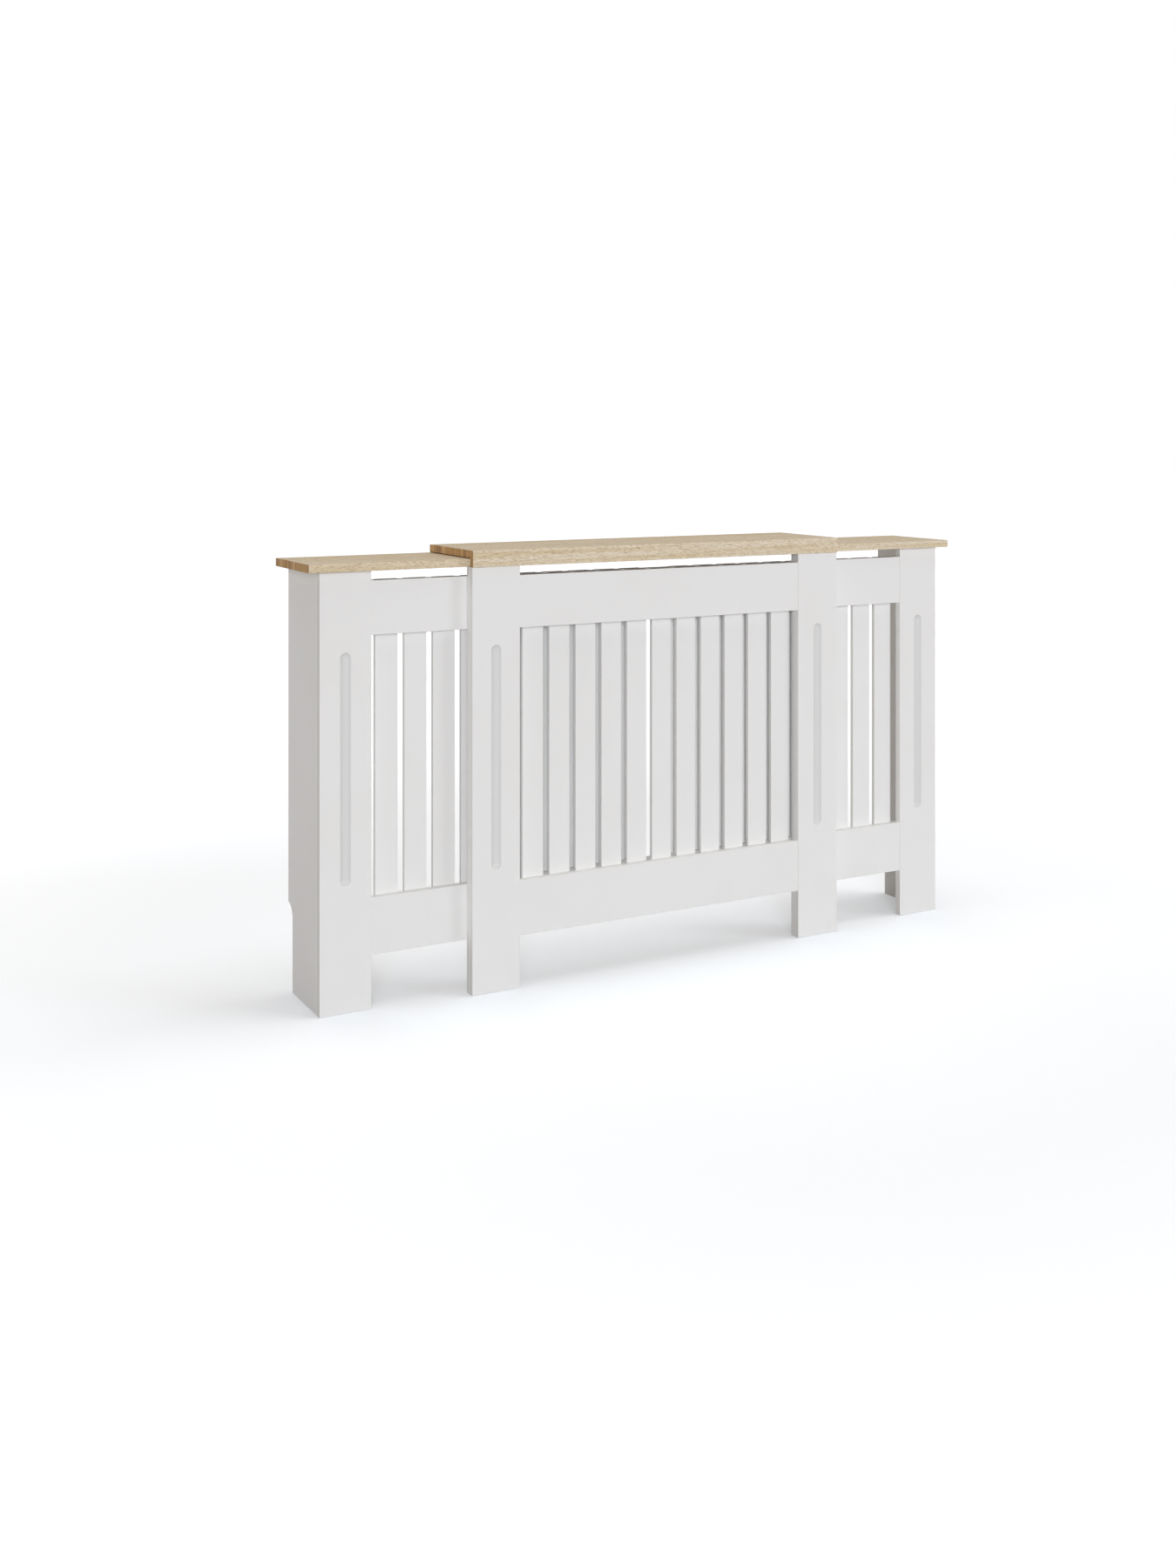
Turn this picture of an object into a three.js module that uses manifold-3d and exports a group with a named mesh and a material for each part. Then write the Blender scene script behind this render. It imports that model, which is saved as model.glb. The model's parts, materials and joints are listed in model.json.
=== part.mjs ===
// Adjustable radiator cover: a slatted middle section, and two side sections that slide out from
// behind it. Millimetres, +Z up, front towards -Y. The origin is on the floor, centred under the
// closed cover.

import * as THREE from 'three';
import { mergeVertices } from 'three/addons/utils/BufferGeometryUtils.js';
import Module from 'manifold-3d';

const wasm = await Module();
wasm.setup();

// Overall sizes, with both side sections pushed in
const coverHeight = 820; // floor to the top of the middle top
const outerLegSpan = 1400; // over the two outer legs
const middleLegSpan = 830; // over the two middle legs
const sideDepth = 176; // front of an outer leg to the wall

// Boards
const frameBoard = 15; // legs, rails and tops
const panelBoard = 18; // side panels
const slatBoard = 9;
const lipBoard = 12;
const backingBoard = 10; // behind the middle legs, a millimetre more than the slats
const arris = 0.5; // eased edge round the faces of every board

// Legs, rails and slats
const legWidth = 97.5;
const railSetback = 1; // rails stand this far behind the faces of the legs
const topRail = { bottom: 673, height: 98.5 };
const bottomRail = { bottom: 97.5, height: 103 };
const slatWidth = 43.5;
const middleSlatCount = 11;
const sideSlatCount = 10; // in each side section

// Round-bottomed groove down the face of every leg
const groove = { bottom: 227.5, top: 644.5, width: 20, depth: 5 };

// Notch at the foot of each side panel that goes over the skirting board
const notch = { depth: 24.5, height: 163 };

// Tops
const sideTopFront = 12; // overhang past the face of an outer leg
const sideTopEnd = 24; // overhang past the side of an outer leg
const lipFront = 3; // overhang past the face of a middle leg
const foldRound = 1; // eased corner where the lip folds down

// Clearances of the sliding sections
const topGap = 0.5; // above and below a side top
const centreGap = 0.5; // from the centre line to the inner ends of a side section

// Metal fittings and dowels
const sheet = 2;
const bendRadius = 3; // on the middle of the sheet
const bracket = { leg: 30, width: 20, holeRadius: 2.5, holeFromCorner: 18.5 };
const clip = {
  width: 40,
  flange: 14, // up the back of the middle leg
  keeper: 32, // down behind the slats
  overRail: 2,
  behindSlats: 1,
  holeRadius: 2.25,
  holeSpacing: 24,
  holeFromRail: 10.5,
};
const topBracketFront = 8; // behind the slats
const wallBracketHeight = 700;
const dowel = { radius: 2.5, length: 24, chamfer: 0.6, holeRadius: 2.8, endGap: 0.5 };

// Facets of round forms, and the distance within which two corners are one
const cornerSteps = 16;
const roundSides = 24;
const noseSides = 96;
const weld = 1e-4;

// Levels that follow from the sizes above
const middleTopUnder = coverHeight - frameBoard;
const sideTopUnder = middleTopUnder - topGap - frameBoard;
const middleLegTop = sideTopUnder - topGap;
const topRailTop = topRail.bottom + topRail.height;
const slatLength = topRailTop - bottomRail.bottom;

// Planes from front to back
const coverDepth = sideDepth + backingBoard + frameBoard + lipFront;
const wallY = coverDepth / 2;
const outerFrontY = wallY - sideDepth;
const middleFrontY = outerFrontY - backingBoard - frameBoard;
const lipFrontY = middleFrontY - lipFront;
const lipBackY = lipFrontY + lipBoard;
const sideRailY = outerFrontY + railSetback;
const middleRailY = middleFrontY + railSetback;
const sideSlatBackY = sideRailY + frameBoard + slatBoard;

const outerOpening = outerLegSpan - 2 * legWidth;
const middleOpening = middleLegSpan - 2 * legWidth;
const outerLegX = (outerLegSpan - legWidth) / 2;
const middleLegX = (middleLegSpan - legWidth) / 2;
const panelInnerX = outerLegSpan / 2 - panelBoard;
const sideSlatPlaces = 2 * sideSlatCount + 1;

const white = new THREE.MeshStandardMaterial({ color: '#efeeec', roughness: 0.45, metalness: 0 });
const oak = new THREE.MeshStandardMaterial({ color: '#cdbd9f', roughness: 0.55, metalness: 0 });
const steel = new THREE.MeshStandardMaterial({ color: '#b9bcc0', roughness: 0.35, metalness: 1 });
const beech = new THREE.MeshStandardMaterial({ color: '#d2ab79', roughness: 0.7, metalness: 0 });

// Extrusion from z = 0 to the thickness, with an eased edge round both faces.
function extrude(outline, thickness, edge = arris) {
  const geometry = new THREE.ExtrudeGeometry(outline, {
    depth: thickness - 2 * edge,
    bevelEnabled: edge > 0,
    bevelThickness: edge,
    bevelSize: edge,
    bevelOffset: -edge,
    bevelSegments: 1,
    curveSegments: cornerSteps,
  });
  return geometry.translate(0, 0, edge);
}

function rectangle(width, height) {
  const outline = new THREE.Shape();
  outline.moveTo(-width / 2, 0);
  outline.lineTo(width / 2, 0);
  outline.lineTo(width / 2, height);
  outline.lineTo(-width / 2, height);
  return outline;
}

function polygon(points) {
  return new THREE.Shape(points.map(([x, y]) => new THREE.Vector2(x, y)));
}

// Outline seen from the front, in X and Z. The board's face is at y = 0 and its back at y = thickness.
function acrossBoard(outline, thickness) {
  return extrude(outline, thickness).rotateX(Math.PI / 2).translate(0, thickness, 0);
}

// Outline seen from the right end, in Y and Z, extruded along X and centred on x = 0.
function endProfile(outline, length, edge = arris) {
  const axes = new THREE.Matrix4().makeBasis(
    new THREE.Vector3(0, 1, 0),
    new THREE.Vector3(0, 0, 1),
    new THREE.Vector3(1, 0, 0),
  );
  return extrude(outline, length, edge).applyMatrix4(axes).translate(-length / 2, 0, 0);
}

function toSolid(geometry) {
  const bare = geometry.clone();
  bare.deleteAttribute('normal');
  bare.deleteAttribute('uv');
  const merged = mergeVertices(bare, weld);
  const corners = merged.index.array;
  const triangles = [];
  for (let i = 0; i < corners.length; i += 3) {
    const [a, b, c] = corners.slice(i, i + 3);
    if (a !== b && b !== c && c !== a) {
      triangles.push(a, b, c);
    }
  }
  const vertProperties = Float32Array.from(merged.attributes.position.array);
  const triVerts = Uint32Array.from(triangles);
  return new wasm.Manifold(new wasm.Mesh({ numProp: 3, vertProperties, triVerts }));
}

function cut(geometry, cutters) {
  let solid = toSolid(geometry);
  for (const cutter of cutters) {
    solid = solid.subtract(toSolid(cutter));
  }
  const mesh = solid.getMesh();
  const result = new THREE.BufferGeometry();
  result.setAttribute('position', new THREE.BufferAttribute(mesh.vertProperties, 3));
  result.setIndex(new THREE.BufferAttribute(mesh.triVerts, 1));
  result.computeVertexNormals();
  return result;
}

// Round bar along an axis, used to drill holes.
function drill(radius, length, axis) {
  const bit = new THREE.CylinderGeometry(radius, radius, length, roundSides);
  if (axis === 'x') {
    return bit.rotateZ(Math.PI / 2);
  }
  return axis === 'z' ? bit.rotateX(Math.PI / 2) : bit;
}

// One long edge of a bent strip: the path moved to its left, with an arc round each square bend.
function addStripEdge(outline, path, offset, radius) {
  const points = path.map(([x, y]) => new THREE.Vector2(x, y));
  const last = points.length - 1;
  const heading = (i) => points[i + 1].clone().sub(points[i]).normalize();
  const beside = (point, way) => new THREE.Vector2(point.x - way.y * offset, point.y + way.x * offset);
  const start = beside(points[0], heading(0));
  const end = beside(points[last], heading(last - 1));
  if (outline.curves.length === 0) {
    outline.moveTo(start.x, start.y);
  } else {
    outline.lineTo(start.x, start.y);
  }
  for (let i = 1; i < last; i += 1) {
    const way = heading(i - 1);
    const next = heading(i);
    const left = way.cross(next) > 0;
    const centre = points[i].clone().addScaledVector(next, radius).addScaledVector(way, -radius);
    const edgeRadius = left ? radius - offset : radius + offset;
    const from = Math.atan2(-next.y, -next.x);
    const to = Math.atan2(way.y, way.x);
    outline.absarc(centre.x, centre.y, edgeRadius, from, to, !left);
  }
  outline.lineTo(end.x, end.y);
}

// Outline of sheet metal bent along a path of straight runs.
function bentStrip(path) {
  const outline = new THREE.Shape();
  addStripEdge(outline, path, sheet / 2, bendRadius);
  addStripEdge(outline, [...path].reverse(), sheet / 2, bendRadius);
  return outline;
}

function addPiece(section, name, geometry, material, x, y, z) {
  const mesh = new THREE.Mesh(geometry, material);
  mesh.name = name;
  mesh.position.set(x, y, z);
  section.add(mesh);
}

// Leg board, and the round-nosed cutter that leaves a cove down its face, half-round at both ends.
function legAndCutter(height) {
  const board = acrossBoard(rectangle(legWidth, height), frameBoard);
  const noseRadius = (groove.width ** 2 / 4 + groove.depth ** 2) / (2 * groove.depth);
  const travel = groove.top - groove.bottom - groove.width;
  const nose = new THREE.CapsuleGeometry(noseRadius, travel, cornerSteps, noseSides).rotateX(Math.PI / 2);
  nose.translate(0, groove.depth - noseRadius, (groove.bottom + groove.top) / 2);
  return { board, nose };
}

function railGeometry(length, rail) {
  return acrossBoard(rectangle(length, rail.height), frameBoard);
}

function slatGeometry() {
  return acrossBoard(rectangle(slatWidth, slatLength), slatBoard);
}

// Distance between the centres of slats that share an opening evenly.
function slatPitch(opening, count) {
  return slatWidth + (opening - count * slatWidth) / (count + 1);
}

// Side panel, notched at its foot with a quarter-circle corner.
function sidePanelGeometry() {
  const front = outerFrontY + frameBoard;
  const outline = new THREE.Shape();
  outline.moveTo(front, 0);
  outline.lineTo(wallY - notch.depth, 0);
  outline.lineTo(wallY - notch.depth, notch.height - notch.depth);
  outline.absarc(wallY, notch.height - notch.depth, notch.depth, Math.PI, Math.PI / 2, true);
  outline.lineTo(wallY, sideTopUnder);
  outline.lineTo(front, sideTopUnder);
  return endProfile(outline, panelBoard);
}

function sideTopGeometry() {
  const length = outerLegSpan / 2 + sideTopEnd - centreGap;
  const depth = sideTopFront + sideDepth;
  return extrude(rectangle(length, depth), frameBoard);
}

// Middle top and lip meet in a mitre that runs from the eased outer corner to the inner one.
const mitre = [
  [lipBackY, middleTopUnder],
  [lipFrontY + foldRound / 2, coverHeight - foldRound / 2],
];

function middleTopGeometry() {
  const outline = polygon([
    ...mitre,
    [lipFrontY + foldRound, coverHeight],
    [wallY - arris, coverHeight],
    [wallY, coverHeight - arris],
    [wallY, middleTopUnder + arris],
    [wallY - arris, middleTopUnder],
  ]);
  return endProfile(outline, middleLegSpan, arris / 2);
}

function lipGeometry() {
  const outline = polygon([
    ...mitre,
    [lipFrontY, coverHeight - foldRound],
    [lipFrontY, middleLegTop + arris],
    [lipFrontY + arris, middleLegTop],
    [lipBackY - arris, middleLegTop],
    [lipBackY, middleLegTop + arris],
  ]);
  return endProfile(outline, middleLegSpan, arris / 2);
}

// Dowel that pegs the lip to a middle leg, half of it in each.
const dowelY = (middleFrontY + lipBackY) / 2;
const dowelZ = middleLegTop - dowel.length / 2;

function dowelGeometry() {
  const { radius, length, chamfer } = dowel;
  const profile = [
    [0, 0],
    [radius - chamfer, 0],
    [radius, chamfer],
    [radius, length - chamfer],
    [radius - chamfer, length],
    [0, length],
  ].map(([x, y]) => new THREE.Vector2(x, y));
  return new THREE.LatheGeometry(profile, roundSides).rotateX(Math.PI / 2);
}

function dowelHole(x, y, z) {
  return drill(dowel.holeRadius, dowel.length + 2 * dowel.endGap, 'z').translate(x, y, z);
}

// Angle bracket with one screw hole in each leg: its back is at x = 0 and y = 0, its legs run to +X and -Y.
function bracketGeometry() {
  const middle = sheet / 2;
  const outline = bentStrip([
    [bracket.leg, -middle],
    [middle, -middle],
    [middle, -bracket.leg],
  ]);
  const strip = extrude(outline, bracket.width, 0).translate(0, 0, -bracket.width / 2);
  return cut(strip, [
    drill(bracket.holeRadius, bracket.width, 'y').translate(bracket.holeFromCorner, 0, 0),
    drill(bracket.holeRadius, bracket.width, 'x').translate(0, -bracket.holeFromCorner, 0),
  ]);
}

// Guide clip: screwed behind a middle leg, it reaches over a side rail and down behind its slats.
// The rail's edge is at z = 0, and side is 1 for a clip above a rail and -1 for one below.
function clipGeometry(side) {
  const middle = sheet / 2;
  const arm = clip.overRail + middle;
  const back = sideSlatBackY - outerFrontY + clip.behindSlats + middle;
  const outline = bentStrip([
    [middle, side * (clip.overRail + clip.flange)],
    [middle, side * arm],
    [back, side * arm],
    [back, side * (arm - clip.keeper)],
  ]);
  const strip = endProfile(outline, clip.width, 0);
  const holeLevel = side * clip.holeFromRail;
  const holes = [-1, 1].map((end) =>
    drill(clip.holeRadius, clip.flange, 'y').translate((end * clip.holeSpacing) / 2, 0, holeLevel),
  );
  return cut(strip, holes);
}

function buildMiddleSection() {
  const section = new THREE.Group();
  const sides = { left: -1, right: 1 };

  addPiece(section, 'middle_top', middleTopGeometry(), oak, 0, 0, 0);
  const lipHoles = Object.values(sides).map((side) => dowelHole(side * middleLegX, dowelY, middleLegTop));
  addPiece(section, 'middle_top_lip', cut(lipGeometry(), lipHoles), oak, 0, 0, 0);

  for (const [name, side] of Object.entries(sides)) {
    const x = side * middleLegX;
    const { board, nose } = legAndCutter(middleLegTop);
    const leg = cut(board, [nose, dowelHole(0, dowelY - middleFrontY, middleLegTop)]);
    addPiece(section, `middle_leg_${name}`, leg, white, x, middleFrontY, 0);
    const backing = acrossBoard(rectangle(legWidth, middleLegTop), backingBoard);
    addPiece(section, `middle_leg_backing_${name}`, backing, white, x, middleFrontY + frameBoard, 0);
    addPiece(section, `lip_dowel_${name}`, dowelGeometry(), beech, x, dowelY, dowelZ);
    const topClip = clipGeometry(1);
    addPiece(section, `guide_clip_top_${name}`, topClip, steel, x, outerFrontY, topRailTop);
    const bottomClip = clipGeometry(-1);
    addPiece(section, `guide_clip_bottom_${name}`, bottomClip, steel, x, outerFrontY, bottomRail.bottom);
  }

  const topRailBoard = railGeometry(middleOpening, topRail);
  addPiece(section, 'middle_top_rail', topRailBoard, white, 0, middleRailY, topRail.bottom);
  const bottomRailBoard = railGeometry(middleOpening, bottomRail);
  addPiece(section, 'middle_bottom_rail', bottomRailBoard, white, 0, middleRailY, bottomRail.bottom);

  const pitch = slatPitch(middleOpening, middleSlatCount);
  for (let i = 0; i < middleSlatCount; i += 1) {
    const x = (i - (middleSlatCount - 1) / 2) * pitch;
    const name = `middle_slat_${String(i + 1).padStart(2, '0')}`;
    addPiece(section, name, slatGeometry(), white, x, middleRailY + frameBoard, bottomRail.bottom);
  }
  return section;
}

// A side section: side is -1 on the left and 1 on the right. Slats are numbered from the outer leg.
function buildSideSection(name, side) {
  const section = new THREE.Group();
  const halfOpening = outerOpening / 2;

  const topX = (side * (outerLegSpan / 2 + sideTopEnd + centreGap)) / 2;
  addPiece(section, `${name}_top`, sideTopGeometry(), oak, topX, outerFrontY - sideTopFront, sideTopUnder);

  const { board, nose } = legAndCutter(sideTopUnder);
  addPiece(section, `${name}_leg`, cut(board, [nose]), white, side * outerLegX, outerFrontY, 0);

  const panelX = side * (panelInnerX + panelBoard / 2);
  addPiece(section, `${name}_side_panel`, sidePanelGeometry(), white, panelX, 0, 0);

  const railLength = halfOpening - centreGap;
  const railX = (side * (halfOpening + centreGap)) / 2;
  const topRailBoard = railGeometry(railLength, topRail);
  addPiece(section, `${name}_top_rail`, topRailBoard, white, railX, sideRailY, topRail.bottom);
  const bottomRailBoard = railGeometry(railLength, bottomRail);
  addPiece(section, `${name}_bottom_rail`, bottomRailBoard, white, railX, sideRailY, bottomRail.bottom);

  // The slats take every place but the one on the centre line.
  const pitch = slatPitch(outerOpening, sideSlatPlaces);
  for (let i = 0; i < sideSlatCount; i += 1) {
    const x = side * (sideSlatCount - i) * pitch;
    const slatName = `${name}_slat_${String(i + 1).padStart(2, '0')}`;
    addPiece(section, slatName, slatGeometry(), white, x, sideRailY + frameBoard, bottomRail.bottom);
  }

  // One leg of each bracket is on the inner face of the panel, the other under the top or on the wall.
  const bracketX = side * panelInnerX;
  const topBracket = bracketGeometry().rotateX(Math.PI / 2);
  if (side > 0) {
    topBracket.rotateZ(Math.PI);
  }
  const topBracketY = sideSlatBackY + topBracketFront + bracket.width / 2;
  addPiece(section, `${name}_top_bracket`, topBracket, steel, bracketX, topBracketY, sideTopUnder);

  const wallBracket = bracketGeometry();
  if (side > 0) {
    wallBracket.rotateY(Math.PI);
  }
  addPiece(section, `${name}_wall_bracket`, wallBracket, steel, bracketX, wallY, wallBracketHeight);
  return section;
}

const radiatorCover = new THREE.Group();
radiatorCover.add(buildMiddleSection());
radiatorCover.add(buildSideSection('left', -1));
radiatorCover.add(buildSideSection('right', 1));

export default radiatorCover;
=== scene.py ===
# Adjustable radiator cover: a slatted white front under an oak-foil shelf, and side sections that slide
# out from behind the middle one. Metres, +Z up, front towards -Y.

import json
import math

import bmesh
import bpy
from mathutils import Matrix, Vector

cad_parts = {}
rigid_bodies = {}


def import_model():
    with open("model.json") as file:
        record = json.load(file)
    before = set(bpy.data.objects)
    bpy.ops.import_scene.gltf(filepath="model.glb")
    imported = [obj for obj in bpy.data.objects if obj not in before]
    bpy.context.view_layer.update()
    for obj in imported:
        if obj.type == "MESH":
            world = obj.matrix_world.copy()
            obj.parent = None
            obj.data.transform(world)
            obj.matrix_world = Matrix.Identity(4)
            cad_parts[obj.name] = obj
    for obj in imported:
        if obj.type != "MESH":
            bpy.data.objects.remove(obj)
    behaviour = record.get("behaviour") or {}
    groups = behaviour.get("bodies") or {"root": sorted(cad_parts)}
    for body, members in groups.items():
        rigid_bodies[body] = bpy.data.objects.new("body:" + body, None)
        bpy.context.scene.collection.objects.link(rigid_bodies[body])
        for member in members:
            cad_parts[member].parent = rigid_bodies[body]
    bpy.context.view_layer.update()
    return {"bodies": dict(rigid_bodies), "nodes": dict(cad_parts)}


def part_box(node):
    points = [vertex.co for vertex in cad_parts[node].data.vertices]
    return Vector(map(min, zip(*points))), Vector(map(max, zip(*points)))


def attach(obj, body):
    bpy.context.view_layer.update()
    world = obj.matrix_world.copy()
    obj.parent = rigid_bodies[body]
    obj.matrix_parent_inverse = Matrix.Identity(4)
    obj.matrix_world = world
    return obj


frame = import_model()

nodes = frame["nodes"]
mm = 0.001
print("frame loaded:", len(nodes), "boards and fittings")


# Colours are written as sRGB hex values, and Blender's sockets take linear ones.
def linear(hexColour):
    shares = [int(hexColour[i:i + 2], 16) / 255 for i in (1, 3, 5)]
    return [s / 12.92 if s <= 0.04045 else ((s + 0.055) / 1.055) ** 2.4 for s in shares] + [1.0]


# Adds a node with its settings. Inputs go by name, or by position where a node repeats a name. An input is
# a plain value, a socket, or a node whose first output it takes.
def addNode(tree, kind, settings, inputs):
    node = tree.nodes.new("ShaderNode" + kind)
    for name, value in settings.items():
        setattr(node, name, value)
    for socket, value in inputs.items():
        if isinstance(value, bpy.types.Node):
            tree.links.new(value.outputs[0], node.inputs[socket])
        elif isinstance(value, bpy.types.NodeSocket):
            tree.links.new(value, node.inputs[socket])
        else:
            node.inputs[socket].default_value = value
    return node


multiply = {"operation": "MULTIPLY"}
add = {"operation": "ADD"}
subtract = {"operation": "SUBTRACT"}
multiplyAdd = {"operation": "MULTIPLY_ADD"}
absolute = {"operation": "ABSOLUTE"}
greater = {"operation": "GREATER_THAN"}
less = {"operation": "LESS_THAN"}
larger = {"operation": "MAXIMUM"}
colourMix = {"data_type": "RGBA"}
softStep = {"interpolation_type": "SMOOTHSTEP"}
oneWay = {"noise_dimensions": "1D"}

# The sockets of a Mix node that hold colours, and its share of the upper one.
mixShare, lower, upper = 0, 6, 7
mixedColour = 2

# Four numbers that turn a noise into a share are the noise at which it starts and ends and its share at
# both: inputs 1 to 4 of a Map Range node.


# An empty material and its shader, which is already on the output.
def newFinish(name, metallic=0.0):
    material = bpy.data.materials.new(name)
    material.use_nodes = True
    tree = material.node_tree
    tree.nodes.clear()
    shader = addNode(tree, "BsdfPrincipled", {}, {"Metallic": metallic})
    addNode(tree, "OutputMaterial", {}, {"Surface": shader})
    return material, tree, shader


# Satin white paint sprayed on medium-density fibreboard. The coat levels to a faint orange peel. It is
# duller and slightly woolly on the cut edges. The grooves are painted a greyer white as painted shade,
# and the edges that face up under the shelves are painted grey-brown as painted shade under the shelves.
whitePaint = {
    "coat": "#F4F4F3",
    "thinCoat": "#F0F0EE",
    # painted shade: the legs' grooves are painted a greyer white
    "groovePaintedShade": "#E2E2E1",
    # painted shade: the up-facing edges under the shelves are painted dark grey-brown
    "underShelfShade": "#8F877E",
    "thinShare": (0.4, 0.7, 0.0, 0.5),
    "cutEdgeShare": (0.95, 0.6, 0.0, 1.0),
    "grooveFadeMm": (0.1, 1),
    "grooveFacing": -0.05,
    "underShelfAboveMm": 700,
    "underShelfFacing": 0.9,
    "roughness": 0.42,
    "edgeRoughness": 0.6,
    "roughnessVaries": 0.06,
    "cloudMm": 160,
    "peelMm": 2.4,
    "peelHeightMm": 0.012,
    "fibreMm": 0.7,
    "fibreHeightMm": 0.03,
}
noGroove = 1.0  # a face further back than any board


# A board's broad faces look along the broad axis, and its cut edges along the other two. A leg's groove
# lies behind its front face, which is at faceY.
def makeWhitePaint(name, broadAxis, faceY=noGroove):
    look = whitePaint
    material, tree, shader = newFinish(name)
    coords = addNode(tree, "TexCoord", {}, {})
    place = coords.outputs["Object"]
    spot = addNode(tree, "SeparateXYZ", {}, {0: place})
    normal = addNode(tree, "SeparateXYZ", {}, {0: coords.outputs["Normal"]})
    clouds, peel, fibres = [
        addNode(tree, "TexNoise", {}, {"Vector": place, "Scale": 1 / (look[size] * mm), "Detail": detail})
        for size, detail in (("cloudMm", 3.0), ("peelMm", 1.0), ("fibreMm", 2.0))]

    broad = addNode(tree, "Math", absolute, {0: normal.outputs[broadAxis]})
    cutEdge = addNode(tree, "MapRange", softStep, {0: broad, **dict(enumerate(look["cutEdgeShare"], 1))})
    thin = addNode(tree, "MapRange", softStep, {0: clouds, **dict(enumerate(look["thinShare"], 1))})
    thinner = addNode(tree, "Math", larger, {0: thin, 1: cutEdge})
    # Painted shade: faces in a leg's groove, behind its front face, are painted greyer.
    fadeStart, fadeEnd = [faceY + depth * mm for depth in look["grooveFadeMm"]]
    sunk = addNode(tree, "MapRange", softStep, {0: spot.outputs["Y"], 1: fadeStart, 2: fadeEnd})
    forwards = addNode(tree, "Math", less, {0: normal.outputs["Y"], 1: look["grooveFacing"]})
    grooveShadeMask = addNode(tree, "Math", multiply, {0: sunk, 1: forwards})
    # Painted shade: faces that look up from under the shelves are painted grey-brown.
    upwards = addNode(tree, "Math", greater, {0: normal.outputs["Z"], 1: look["underShelfFacing"]})
    high = addNode(tree, "Math", greater, {0: spot.outputs["Z"], 1: look["underShelfAboveMm"] * mm})
    underShelfShadeMask = addNode(tree, "Math", multiply, {0: upwards, 1: high})

    tone = linear(look["coat"])
    # Over the coat go the thinner coat, then painted shade in the grooves and under the shelves.
    for share, colour in ((thinner, "thinCoat"), (grooveShadeMask, "groovePaintedShade"), (underShelfShadeMask, "underShelfShade")):
        layer = {mixShare: share, lower: tone, upper: linear(look[colour])}
        tone = addNode(tree, "Mix", colourMix, layer).outputs[mixedColour]
    tree.links.new(tone, shader.inputs["Base Color"])

    varies = look["roughnessVaries"]
    duller = {0: cutEdge, 3: look["roughness"] - varies / 2, 4: look["edgeRoughness"] - varies / 2}
    edgeDulled = addNode(tree, "MapRange", {}, duller)
    roughness = addNode(tree, "Math", multiplyAdd, {0: peel, 1: varies, 2: edgeDulled})
    tree.links.new(roughness.outputs[0], shader.inputs["Roughness"])

    peelHeight = addNode(tree, "Math", multiply, {0: peel, 1: look["peelHeightMm"] * mm})
    woolly = addNode(tree, "Math", multiply, {0: fibres, 1: cutEdge})
    height = addNode(tree, "Math", multiplyAdd, {0: woolly, 1: look["fibreHeightMm"] * mm, 2: peelHeight})
    relief = addNode(tree, "Bump", {}, {"Distance": 1.0, "Height": height})
    tree.links.new(relief.outputs[0], shader.inputs["Normal"])
    return material


# Oak-effect foil wrapped round fibreboard, printed with plain-sawn planks whose grain runs along the
# shelf: faint nested arches where the cut passes near the heart, short slanting flecks, and dark pores.
# The cut ends carry a browner strip, printed in patches with upright stripes. On the middle shelf a dark
# line of painted shadow runs along the inner edges of that strip, under the board and behind the lip, where
# a shadow gap is. Sizes in pairs are along and across the grain.
oakFoil = {
    "light": "#F4EAD6",
    "mid": "#E5D5B3",
    "dark": "#CBB18B",
    "pore": "#A5855F",
    # painted shade: the shelves darken towards their rear edges
    "rearShade": "#CDBB93",
    "endLight": "#E6C290",
    "endMid": "#C8A16D",
    "endDark": "#A37A5D",
    # painted shadow of the gap under the middle shelf's ends and behind its lip
    "gapShadow": "#5A3F22",
    "roughness": 0.6,
    "poreRoughness": 0.15,
    "gloss": 0.1,
    "plankMm": 118,
    "heartFrom": 0.2,  # where a heart line can lie, in widths of its plank
    "heartSpread": 0.6,
    "ringMm": 4.2,
    "ringWaver": 1.6,
    "archMm": 240,
    "archDepthMm": 40,
    "waverMm": (30, 5),
    "streakMm": (360, 9),
    "fibreMm": (30, 1.3),
    "fleckMm": (12, 1.8),
    "fleckSlant": 0.35,
    "poreMm": (8, 0.8),
    "poreHeightMm": 0.02,
    "streakShare": (0.35, 0.65, 0.0, 1.0),
    "fibreShare": (0.4, 0.75, 0.0, 0.4),
    "lateWoodShare": (0.4, 0.95, 0.0, 0.4),
    "fleckShare": (0.5, 0.68, 0.0, 0.5),
    "poreShare": (0.6, 0.72, 0.0, 0.6),
    "rearShadeShare": (0.03, 0.1, 0.0, 0.5),  # by metres behind the middle of the cover
    "endPatchMm": 26,
    "endStripeMm": 4.5,
    "darkPatchShare": (0.35, 0.5, 0.75, 0.0),
    "lightPatchShare": (0.5, 0.7, 0.0, 0.7),
    "darkStripeShare": (0.3, 0.5, 0.4, 0.0),
    "lightStripeShare": (0.5, 0.7, 0.0, 0.35),
    "endFacing": 0.7,
    "gapShadowMm": 1.4,
    "gapShadowOutsideMm": 0.2,
}
# How far apart neighbouring planks lie in the noises, so that none repeats the next one.
archesApart, grainApart = 7.3, 11.0


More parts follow.
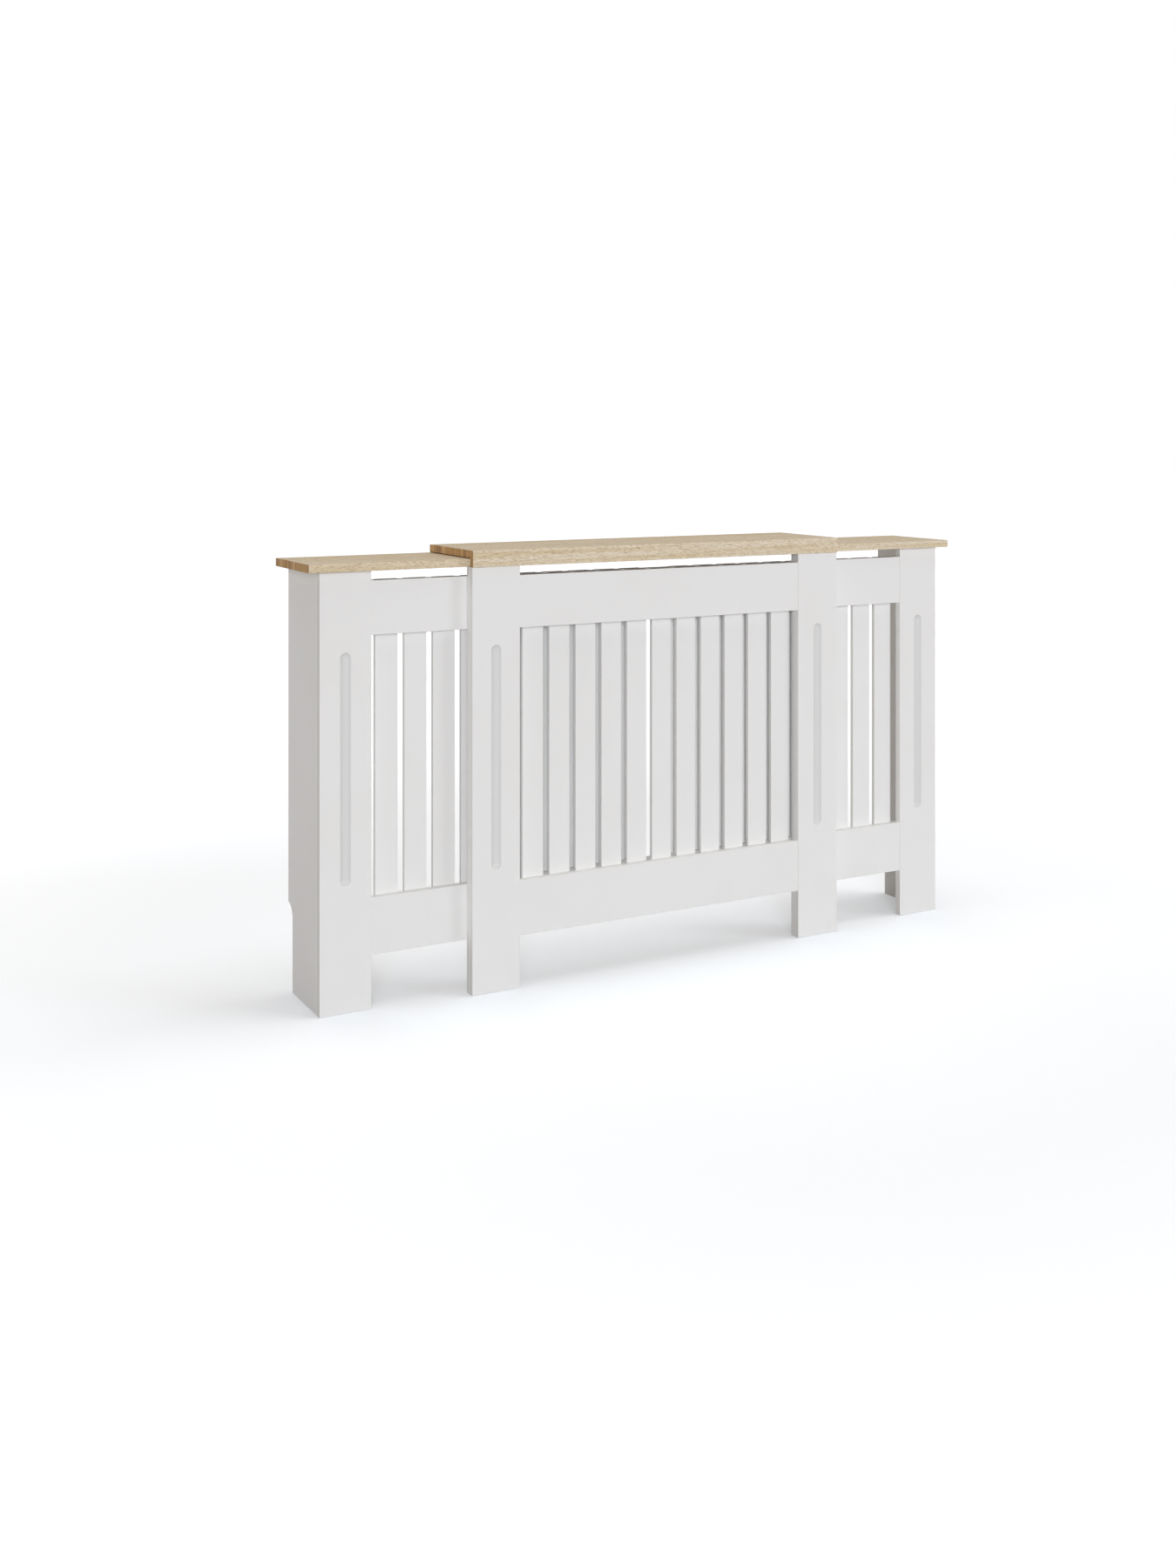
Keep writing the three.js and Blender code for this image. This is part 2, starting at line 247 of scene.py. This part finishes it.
def makeOakFoil(name, seed):
    look = oakFoil
    material, tree, shader = newFinish(name)
    coords = addNode(tree, "TexCoord", {}, {})
    place = addNode(tree, "SeparateXYZ", {}, {0: coords.outputs["Object"]})
    along = addNode(tree, "Math", add, {0: place.outputs["X"], 1: seed})
    across = addNode(tree, "Math", add, {0: place.outputs["Y"], 1: place.outputs["Z"]})  # on round the fold

    # Each plank has its own heart line and its own stretch of the log.
    planks = addNode(tree, "Math", multiplyAdd, {0: across, 1: 1 / (look["plankMm"] * mm), 2: seed})
    plank = addNode(tree, "Math", {"operation": "FLOOR"}, {0: planks})
    inPlank = addNode(tree, "Math", {"operation": "FRACT"}, {0: planks})
    chance = addNode(tree, "TexWhiteNoise", oneWay, {"W": plank})
    heart = addNode(tree, "Math", multiplyAdd, {0: chance, 1: look["heartSpread"], 2: look["heartFrom"]})
    fromHeart = addNode(tree, "Math", subtract, {0: inPlank, 1: heart})
    fromHeartMetres = addNode(tree, "Math", multiply, {0: fromHeart, 1: look["plankMm"] * mm})

    logPlace = addNode(tree, "CombineXYZ", {}, {0: along, 1: plank})
    archSteps = (1 / (look["archMm"] * mm), archesApart, 0)
    archPlace = addNode(tree, "VectorMath", multiply, {0: logPlace, 1: archSteps})
    archNoise = addNode(tree, "TexNoise", {}, {"Vector": archPlace, "Scale": 1.0, "Detail": 1.0})
    depth = addNode(tree, "Math", multiply, {0: archNoise, 1: 2 * look["archDepthMm"] * mm})
    section = addNode(tree, "CombineXYZ", {}, {0: fromHeartMetres, 1: depth})
    radius = addNode(tree, "VectorMath", {"operation": "LENGTH"}, {0: section}).outputs["Value"]

    # Flat patterns on the foil, measured along and across the grain.
    foil = addNode(tree, "CombineXYZ", {}, {0: along, 1: across, 2: chance})

    def grainNoise(coordinates, sizesMm, detail):
        perMetre = (1 / (sizesMm[0] * mm), 1 / (sizesMm[1] * mm), grainApart)
        scaled = addNode(tree, "VectorMath", multiply, {0: coordinates, 1: perMetre})
        return addNode(tree, "TexNoise", {}, {"Vector": scaled, "Scale": 1.0, "Detail": detail})

    waver = grainNoise(foil, look["waverMm"], 2.0)
    ringCount = addNode(tree, "Math", multiply, {0: radius, 1: 1 / (look["ringMm"] * mm)})
    rings = addNode(tree, "Math", multiplyAdd, {0: waver, 1: look["ringWaver"], 2: ringCount})
    ringPart = addNode(tree, "Math", {"operation": "FRACT"}, {0: rings})
    slant = addNode(tree, "Math", multiplyAdd, {0: along, 1: look["fleckSlant"], 2: across})
    slanted = addNode(tree, "CombineXYZ", {}, {0: along, 1: slant, 2: chance})
    streaks = grainNoise(foil, look["streakMm"], 3.0)
    fibres = grainNoise(foil, look["fibreMm"], 2.0)
    flecks = grainNoise(slanted, look["fleckMm"], 2.0)
    pores = grainNoise(foil, look["poreMm"], 0.0)

    sources = {"streakShare": streaks, "fibreShare": fibres, "lateWoodShare": ringPart,
               "fleckShare": flecks, "poreShare": pores, "rearShadeShare": place.outputs["Y"]}
    shares = {key: addNode(tree, "MapRange", softStep, {0: source, **dict(enumerate(look[key], 1))})
              for key, source in sources.items()}
    shares["lateWoodShare"] = addNode(tree, "Math", multiply, {0: shares["lateWoodShare"], 1: waver})
    # The last layer is painted shade towards each shelf's rear edge.
    tone = linear(look["light"])
    for key, colour in (("streakShare", "mid"), ("fibreShare", "dark"), ("lateWoodShare", "dark"),
                        ("fleckShare", "dark"), ("poreShare", "pore"), ("rearShadeShare", "rearShade")):
        layer = {mixShare: shares[key], lower: tone, upper: linear(look[colour])}
        tone = addNode(tree, "Mix", colourMix, layer).outputs[mixedColour]

    # Across the ends the stripes stand upright, and the brown comes and goes in patches.
    endPlace = addNode(tree, "Math", add, {0: place.outputs["Y"], 1: seed})
    patches, stripes = [
        addNode(tree, "TexNoise", oneWay,
                {"W": addNode(tree, "Math", multiply, {0: endPlace, 1: 1 / (look[size] * mm)}),
                 "Scale": 1.0, "Detail": detail})
        for size, detail in (("endPatchMm", 1.0), ("endStripeMm", 2.0))]
    endTone = linear(look["endMid"])
    for source, key, colour in ((patches, "darkPatchShare", "endDark"),
                                (patches, "lightPatchShare", "endLight"),
                                (stripes, "darkStripeShare", "endDark"),
                                (stripes, "lightStripeShare", "endLight")):
        share = addNode(tree, "MapRange", softStep, {0: source, **dict(enumerate(look[key], 1))})
        layer = {mixShare: share, lower: endTone, upper: linear(look[colour])}
        endTone = addNode(tree, "Mix", colourMix, layer).outputs[mixedColour]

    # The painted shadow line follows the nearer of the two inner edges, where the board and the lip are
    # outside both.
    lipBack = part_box("middle_top_lip")[1].y
    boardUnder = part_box("middle_top")[0].z
    aboveBoard = addNode(tree, "Math", subtract, {0: place.outputs["Z"], 1: boardUnder})
    behindLip = addNode(tree, "Math", subtract, {0: lipBack, 1: place.outputs["Y"]})
    inside = addNode(tree, "Math", larger, {0: aboveBoard, 1: behindLip})
    onEdge = addNode(tree, "Math", less, {0: inside, 1: look["gapShadowMm"] * mm})
    onMiddle = addNode(tree, "Math", greater, {0: inside, 1: -look["gapShadowOutsideMm"] * mm})
    gapShadowLine = addNode(tree, "Math", multiply, {0: onEdge, 1: onMiddle})
    layer = {mixShare: gapShadowLine, lower: endTone, upper: linear(look["gapShadow"])}
    endTone = addNode(tree, "Mix", colourMix, layer).outputs[mixedColour]

    sideways = addNode(tree, "SeparateXYZ", {}, {0: coords.outputs["Normal"]}).outputs["X"]
    eitherWay = addNode(tree, "Math", absolute, {0: sideways})
    endFace = addNode(tree, "Math", greater, {0: eitherWay, 1: look["endFacing"]})
    colour = addNode(tree, "Mix", colourMix, {mixShare: endFace, lower: tone, upper: endTone})
    tree.links.new(colour.outputs[mixedColour], shader.inputs["Base Color"])

    shader.inputs["Specular IOR Level"].default_value = look["gloss"]
    duller = {0: shares["poreShare"], 1: look["poreRoughness"], 2: look["roughness"]}
    tree.links.new(addNode(tree, "Math", multiplyAdd, duller).outputs[0], shader.inputs["Roughness"])
    sunken = addNode(tree, "Math", multiply, {0: shares["poreShare"], 1: -look["poreHeightMm"] * mm})
    relief = addNode(tree, "Bump", {}, {"Distance": 1.0, "Height": sunken})
    tree.links.new(relief.outputs[0], shader.inputs["Normal"])
    return material


# Bright zinc plate on pressed steel: a cool grey metal with faint crystal patches and a soft sheen.
zincPlate = {
    "colour": "#C9CCD1",
    "patch": "#BBBFC6",
    "roughness": 0.3,
    "patchRoughness": 0.12,
    "patchMm": 6,
}


def makeZincPlate():
    look = zincPlate
    material, tree, shader = newFinish("zinc_plated_steel", metallic=1.0)
    place = addNode(tree, "TexCoord", {}, {}).outputs["Object"]
    crystals = addNode(tree, "TexVoronoi", {}, {"Vector": place, "Scale": 1 / (look["patchMm"] * mm)})
    shade = addNode(tree, "SeparateXYZ", {}, {0: crystals.outputs["Color"]})
    colours = {mixShare: shade, lower: linear(look["colour"]), upper: linear(look["patch"])}
    colour = addNode(tree, "Mix", colourMix, colours)
    tree.links.new(colour.outputs[mixedColour], shader.inputs["Base Color"])
    duller = {0: shade, 1: look["patchRoughness"], 2: look["roughness"]}
    tree.links.new(addNode(tree, "Math", multiplyAdd, duller).outputs[0], shader.inputs["Roughness"])
    return material


# Bare turned beech: pale pinkish brown, with short dark flecks along the dowel.
beechWood = {
    "colour": "#D8B083",
    "fleck": "#B98A5C",
    "roughness": 0.65,
    "fleckMm": (0.5, 0.5, 3),
    "fleckShare": (0.55, 0.7, 0.0, 0.8),
}


def makeBeech():
    look = beechWood
    material, tree, shader = newFinish("turned_beech")
    place = addNode(tree, "TexCoord", {}, {}).outputs["Object"]
    perMetre = [1 / (size * mm) for size in look["fleckMm"]]
    stretched = addNode(tree, "VectorMath", multiply, {0: place, 1: perMetre})
    flecks = addNode(tree, "TexNoise", {}, {"Vector": stretched, "Scale": 1.0, "Detail": 1.0})
    share = addNode(tree, "MapRange", softStep, {0: flecks, **dict(enumerate(look["fleckShare"], 1))})
    colours = {mixShare: share, lower: linear(look["colour"]), upper: linear(look["fleck"])}
    colour = addNode(tree, "Mix", colourMix, colours)
    tree.links.new(colour.outputs[mixedColour], shader.inputs["Base Color"])
    shader.inputs["Roughness"].default_value = look["roughness"]
    return material


# The rails, slats and backing strips, whose broad faces look forwards as the legs' do
frontBoardPaint = makeWhitePaint("satin_white_paint_front_boards", "Y")
legPaints = {name: makeWhitePaint("satin_white_paint_" + name, "Y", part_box(leg)[0].y) for name, leg in
             (("middle_legs", "middle_leg_left"), ("outer_legs", "left_leg"))}
sidePanelPaint = makeWhitePaint("satin_white_paint_side_panels", "X")
# Each shelf has its own stretch of the oak print.
oakFoils = {side: makeOakFoil("oak_foil_" + side, seed) for side, seed in
            (("middle", 3.1), ("left", 8.6), ("right", 14.7))}
zincSteel = makeZincPlate()
beech = makeBeech()


def finishFor(nodeName):
    if "bracket" in nodeName or "clip" in nodeName:
        return zincSteel
    if "dowel" in nodeName:
        return beech
    if nodeName.endswith(("_top", "_top_lip")):
        return oakFoils[nodeName.split("_")[0]]
    if nodeName.endswith("_side_panel"):
        return sidePanelPaint
    if "_leg" in nodeName and "backing" not in nodeName:
        return legPaints["middle_legs" if nodeName.startswith("middle") else "outer_legs"]
    return frontBoardPaint


for nodeName, piece in nodes.items():
    piece.data.materials.clear()
    piece.data.materials.append(finishFor(nodeName))
print("finishes on", len(nodes), "pieces")


# Pan-head screws with a cross recess, in millimetres. A screw is modelled with the underside of its head
# at the origin and its shank down -Z, and is then turned and moved to its hole.
screwSizes = {
    "headRadius": 3.9,
    "headHeight": 2.2,
    "domeHeight": 0.8,
    "domeFlat": 0.8,  # of the radius
    "domeRise": 0.2,
    "shankRadius": 1.9,
    "shankLength": 13,
    "tipLength": 4,
    "recessReach": 2.1,
    "recessWidth": 0.9,
    "recessDepth": 1.5,
    "recessTaper": (0.45, 0.8, 1),
    "sides": 32,
    "weld": 0.001,
}


def makeScrewMesh():
    size = screwSizes
    domeStart = size["headHeight"] - size["domeHeight"]
    profile = [
        (0, -size["shankLength"]),
        (size["shankRadius"], size["tipLength"] - size["shankLength"]),
        (size["shankRadius"], 0),
        (size["headRadius"], 0),
        (size["headRadius"], domeStart),
        (size["headRadius"] * size["domeFlat"], size["headHeight"] - size["domeRise"]),
        (0, size["headHeight"]),
    ]
    bm = bmesh.new()
    corners = [bm.verts.new((x * mm, 0, z * mm)) for x, z in profile]
    edges = [bm.edges.new(pair) for pair in zip(corners, corners[1:])]
    bmesh.ops.spin(bm, geom=corners + edges, cent=(0, 0, 0), axis=(0, 0, 1), angle=math.tau,
                   steps=size["sides"], use_merge=True)
    bmesh.ops.remove_doubles(bm, verts=bm.verts, dist=size["weld"] * mm)
    bmesh.ops.recalc_face_normals(bm, faces=bm.faces)
    head = bpy.data.meshes.new("screw_blank")
    bm.to_mesh(head)
    bm.free()

    bm = bmesh.new()
    barSize = Vector((2 * size["recessReach"], size["recessWidth"], 2 * size["recessDepth"])) * mm
    for turn in (0, 90):
        bar = bmesh.ops.create_cube(bm, size=1)["verts"]
        bmesh.ops.scale(bm, verts=bar, vec=barSize)
        bmesh.ops.scale(bm, verts=[v for v in bar if v.co.z < 0], vec=size["recessTaper"])
        bmesh.ops.rotate(bm, verts=bar, cent=(0, 0, 0), matrix=Matrix.Rotation(math.radians(turn), 3, "Z"))
    bmesh.ops.translate(bm, verts=bm.verts, vec=(0, 0, size["headHeight"] * mm))
    recess = bpy.data.meshes.new("screw_recess")
    bm.to_mesh(recess)
    bm.free()

    blank = bpy.data.objects.new("screw_blank", head)
    cutter = bpy.data.objects.new("screw_recess", recess)
    for piece in (blank, cutter):
        bpy.context.scene.collection.objects.link(piece)
    cutting = blank.modifiers.new("recess", "BOOLEAN")
    cutting.operation = "DIFFERENCE"
    cutting.solver = "EXACT"
    cutting.use_self = True
    cutting.object = cutter
    finished = bpy.data.meshes.new_from_object(blank.evaluated_get(bpy.context.evaluated_depsgraph_get()))
    for piece in (blank, cutter):
        bpy.data.objects.remove(piece)
    return finished


# Puts a new piece into the scene on the body that it rides on.
def addPiece(name, mesh, body, finish):
    mesh.materials.clear()
    mesh.materials.append(finish)
    piece = bpy.data.objects.new(name, mesh)
    bpy.context.scene.collection.objects.link(piece)
    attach(piece, body)


screwBlank = makeScrewMesh()


# The head faces along the given direction.
def addScrew(name, place, facing, body):
    mesh = screwBlank.copy()
    turn = Vector(facing).to_track_quat("Z", "Y").to_matrix().to_4x4()
    mesh.transform(Matrix.Translation(place) @ turn)
    addPiece(name, mesh, body, zincSteel)


# Where the holes of the clips and brackets are, in millimetres from the corners of those pieces.
fittingHoles = {"clipSpacing": 24, "clipFromEnd": 5.5, "bracketFromCorner": 18.5, "sheet": 2}


def addScrews():
    holes = {name: size * mm for name, size in fittingHoles.items()}
    for side in ("left", "right"):
        for level in ("top", "bottom"):
            low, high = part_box(f"guide_clip_{level}_{side}")
            flangeZ = high.z - holes["clipFromEnd"] if level == "top" else low.z + holes["clipFromEnd"]
            for hole, end in (("inner", -1), ("outer", 1)):
                x = (low.x + high.x) / 2 + end * holes["clipSpacing"] / 2
                place = (x, low.y + holes["sheet"], flangeZ)
                addScrew(f"clip_screw_{level}_{side}_{hole}", place, (0, 1, 0), "middle_section")

        outwards = -1 if side == "left" else 1
        low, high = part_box(f"{side}_top_bracket")
        cornerX = high.x if outwards > 0 else low.x
        middleY = (low.y + high.y) / 2
        underX = cornerX - outwards * holes["bracketFromCorner"]
        addScrew(f"{side}_top_bracket_screw_up", (underX, middleY, high.z - holes["sheet"]), (0, 0, -1),
                 f"{side}_section")
        panelX = cornerX - outwards * holes["sheet"]
        addScrew(f"{side}_top_bracket_screw_out", (panelX, middleY, high.z - holes["bracketFromCorner"]),
                 (-outwards, 0, 0), f"{side}_section")
        low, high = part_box(f"{side}_wall_bracket")
        place = (panelX, high.y - holes["bracketFromCorner"], (low.z + high.z) / 2)
        addScrew(f"{side}_wall_bracket_screw", place, (-outwards, 0, 0), f"{side}_section")
    bpy.data.meshes.remove(screwBlank)


addScrews()
print("screws made")


# Wire staples hold the slats to the rails, in millimetres and degrees. Two cross each end of every slat,
# driven nearly flush and leaning by turns to one side and the other.
stapleSizes = {"crown": 11, "wire": 1.2, "edge": 0.15, "proud": 0.3, "tilt": 12, "fromRailEdge": (24, 74)}


def addStaples(body):
    size = stapleSizes
    side = body.split("_")[0]
    slats = sorted(name for name in nodes if name.startswith(f"{side}_slat_"))
    rails = [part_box(f"{side}_{level}_rail") for level in ("top", "bottom")]
    wireSize = Vector((size["crown"], size["wire"], size["wire"])) * mm
    bm = bmesh.new()
    for index, slat in enumerate(slats):
        low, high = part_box(slat)
        back = high.y + (size["proud"] - size["wire"] / 2) * mm
        for railLow, railHigh in rails:
            for row, rise in enumerate(size["fromRailEdge"]):
                wire = bmesh.ops.create_cube(bm, size=1)["verts"]
                bmesh.ops.scale(bm, verts=wire, vec=wireSize)
                lean = math.radians(size["tilt"] * (1 if (index + row) % 2 else -1))
                bmesh.ops.rotate(bm, verts=wire, cent=(0, 0, 0), matrix=Matrix.Rotation(lean, 3, "Y"))
                bmesh.ops.translate(bm, verts=wire, vec=((low.x + high.x) / 2, back, railLow.z + rise * mm))
    bmesh.ops.bevel(bm, geom=bm.edges[:], offset=size["edge"] * mm, affect="EDGES", segments=1, profile=0.5,
                    material=-1)
    mesh = bpy.data.meshes.new(f"slat_staples_{side}")
    bm.to_mesh(mesh)
    bm.free()
    addPiece(mesh.name, mesh, body, zincSteel)


for body in frame["bodies"]:
    addStaples(body)
print("staples made")


# The floor and background are plain white paper. The floor keeps the soft shadows. The share of white
# that it adds to the view lights nothing: it grows from near to far, in metres from the cover's middle,
# and is less close to the cover and dimmed where the cover shuts the floor in, which paints shade round the
# cover and painted contact shadows at its feet. Each lamp is a broad softbox: it stands that many degrees
# round from the front, to the right, and that many above the floor, and is so many wide.
studio = {
    "floorSize": 60,
    "floorColour": "#D0D0D0",
    "floorSeenColour": "#F1F8FF",
    "glowShare": (0.9, 2.2, 0.42, 0.55),
    "contactMm": 300,
    "ambientColour": (0.14, 0.1, 0.065),
    "lamps": {
        "camera_side": {"round": -26, "rise": 10, "wide": 18, "strength": 1.48, "colour": (0.965, 1.0, 1.06)},
        "front_right": {"round": 50, "rise": 18, "wide": 20, "strength": 0.57, "colour": (0.96, 1.0, 1.05)},
        "right": {"round": 80, "rise": 56, "wide": 30, "strength": 0.5, "colour": (1.0, 1.0, 1.0)},
        "overhead": {"round": 0, "rise": 90, "wide": 50, "strength": 0.5, "colour": (1.0, 1.0, 1.0)},
        "rear": {"round": 185, "rise": 22, "wide": 40, "strength": 0.42, "colour": (0.92, 1.0, 1.08)},
    },
}


# 1 for rays that go to the camera, or to it by way of a reflection or glass, and 0 for the rest.
def seenRays(tree):
    path = addNode(tree, "LightPath", {}, {})
    seen = path.outputs["Is Camera Ray"]
    for kind in ("Is Glossy Ray", "Is Transmission Ray"):
        seen = addNode(tree, "Math", larger, {0: seen, 1: path.outputs[kind]})
    return seen


def addWorld():
    world = bpy.data.worlds.new("white_studio")
    bpy.context.scene.world = world
    world.use_nodes = True
    tree = world.node_tree
    tree.nodes.clear()
    colours = {mixShare: seenRays(tree), lower: (*studio["ambientColour"], 1), upper: (1, 1, 1, 1)}
    light = addNode(tree, "Mix", colourMix, colours)
    background = addNode(tree, "Background", {}, {"Color": light.outputs[mixedColour], "Strength": 1.0})
    addNode(tree, "OutputWorld", {}, {"Surface": background})


def addFloor():
    bm = bmesh.new()
    bmesh.ops.create_grid(bm, x_segments=1, y_segments=1, size=studio["floorSize"] / 2)
    mesh = bpy.data.meshes.new("floor")
    bm.to_mesh(mesh)
    bm.free()
    floor = bpy.data.objects.new("floor", mesh)
    bpy.context.scene.collection.objects.link(floor)

    paper = bpy.data.materials.new("seamless_paper")
    paper.use_nodes = True
    tree = paper.node_tree
    tree.nodes.clear()
    seen = seenRays(tree)
    seenColour = linear(studio["floorSeenColour"])
    colours = {mixShare: seen, lower: linear(studio["floorColour"]), upper: seenColour}
    colour = addNode(tree, "Mix", colourMix, colours).outputs[mixedColour]
    matt = addNode(tree, "BsdfDiffuse", {}, {"Color": colour})
    place = addNode(tree, "TexCoord", {}, {}).outputs["Object"]
    distance = addNode(tree, "VectorMath", {"operation": "LENGTH"}, {0: place}).outputs["Value"]
    glowThere = {0: distance, **dict(enumerate(studio["glowShare"], 1))}
    # Ambient occlusion dims the glow near the cover: painted contact shadows on the floor.
    openness = addNode(tree, "AmbientOcclusion", {}, {"Distance": studio["contactMm"] * mm}).outputs["AO"]
    glowOpen = {0: addNode(tree, "MapRange", softStep, glowThere), 1: openness}
    glowSeen = {0: seen, 1: addNode(tree, "Math", multiply, glowOpen)}
    glow = addNode(tree, "Emission", {}, {"Strength": addNode(tree, "Math", multiply, glowSeen)})
    surface = addNode(tree, "AddShader", {}, {0: matt, 1: glow})
    addNode(tree, "OutputMaterial", {}, {"Surface": surface})
    mesh.materials.append(paper)


def addLamp(name, look):
    lamp = bpy.data.lights.new(name, "SUN")
    lamp.color = look["colour"]
    lamp.energy = look["strength"]
    lamp.angle = math.radians(look["wide"])
    holder = bpy.data.objects.new(name, lamp)
    turn, rise = math.radians(look["round"]), math.radians(look["rise"])
    towards = Vector((math.sin(turn) * math.cos(rise), -math.cos(turn) * math.cos(rise), math.sin(rise)))
    holder.rotation_euler = towards.to_track_quat("Z", "Y").to_euler()
    bpy.context.scene.collection.objects.link(holder)


# A level camera whose lens is shifted down, so that upright edges stay upright.
view = {"place": (-1.655, -2.8417, 1.0313), "level": 90, "turn": -28.38, "lens": 37.47, "shift": -0.222}


def addCamera():
    camera = bpy.data.cameras.new("camera")
    camera.lens = view["lens"]
    camera.shift_y = view["shift"]
    holder = bpy.data.objects.new("camera", camera)
    holder.location = view["place"]
    holder.rotation_euler = (math.radians(view["level"]), 0, math.radians(view["turn"]))
    bpy.context.scene.collection.objects.link(holder)
    bpy.context.scene.camera = holder


addWorld()
addFloor()
for lampName, lampLook in studio["lamps"].items():
    addLamp(lampName, lampLook)
addCamera()
bpy.context.scene.view_settings.view_transform = "Standard"
print("studio and camera ready")
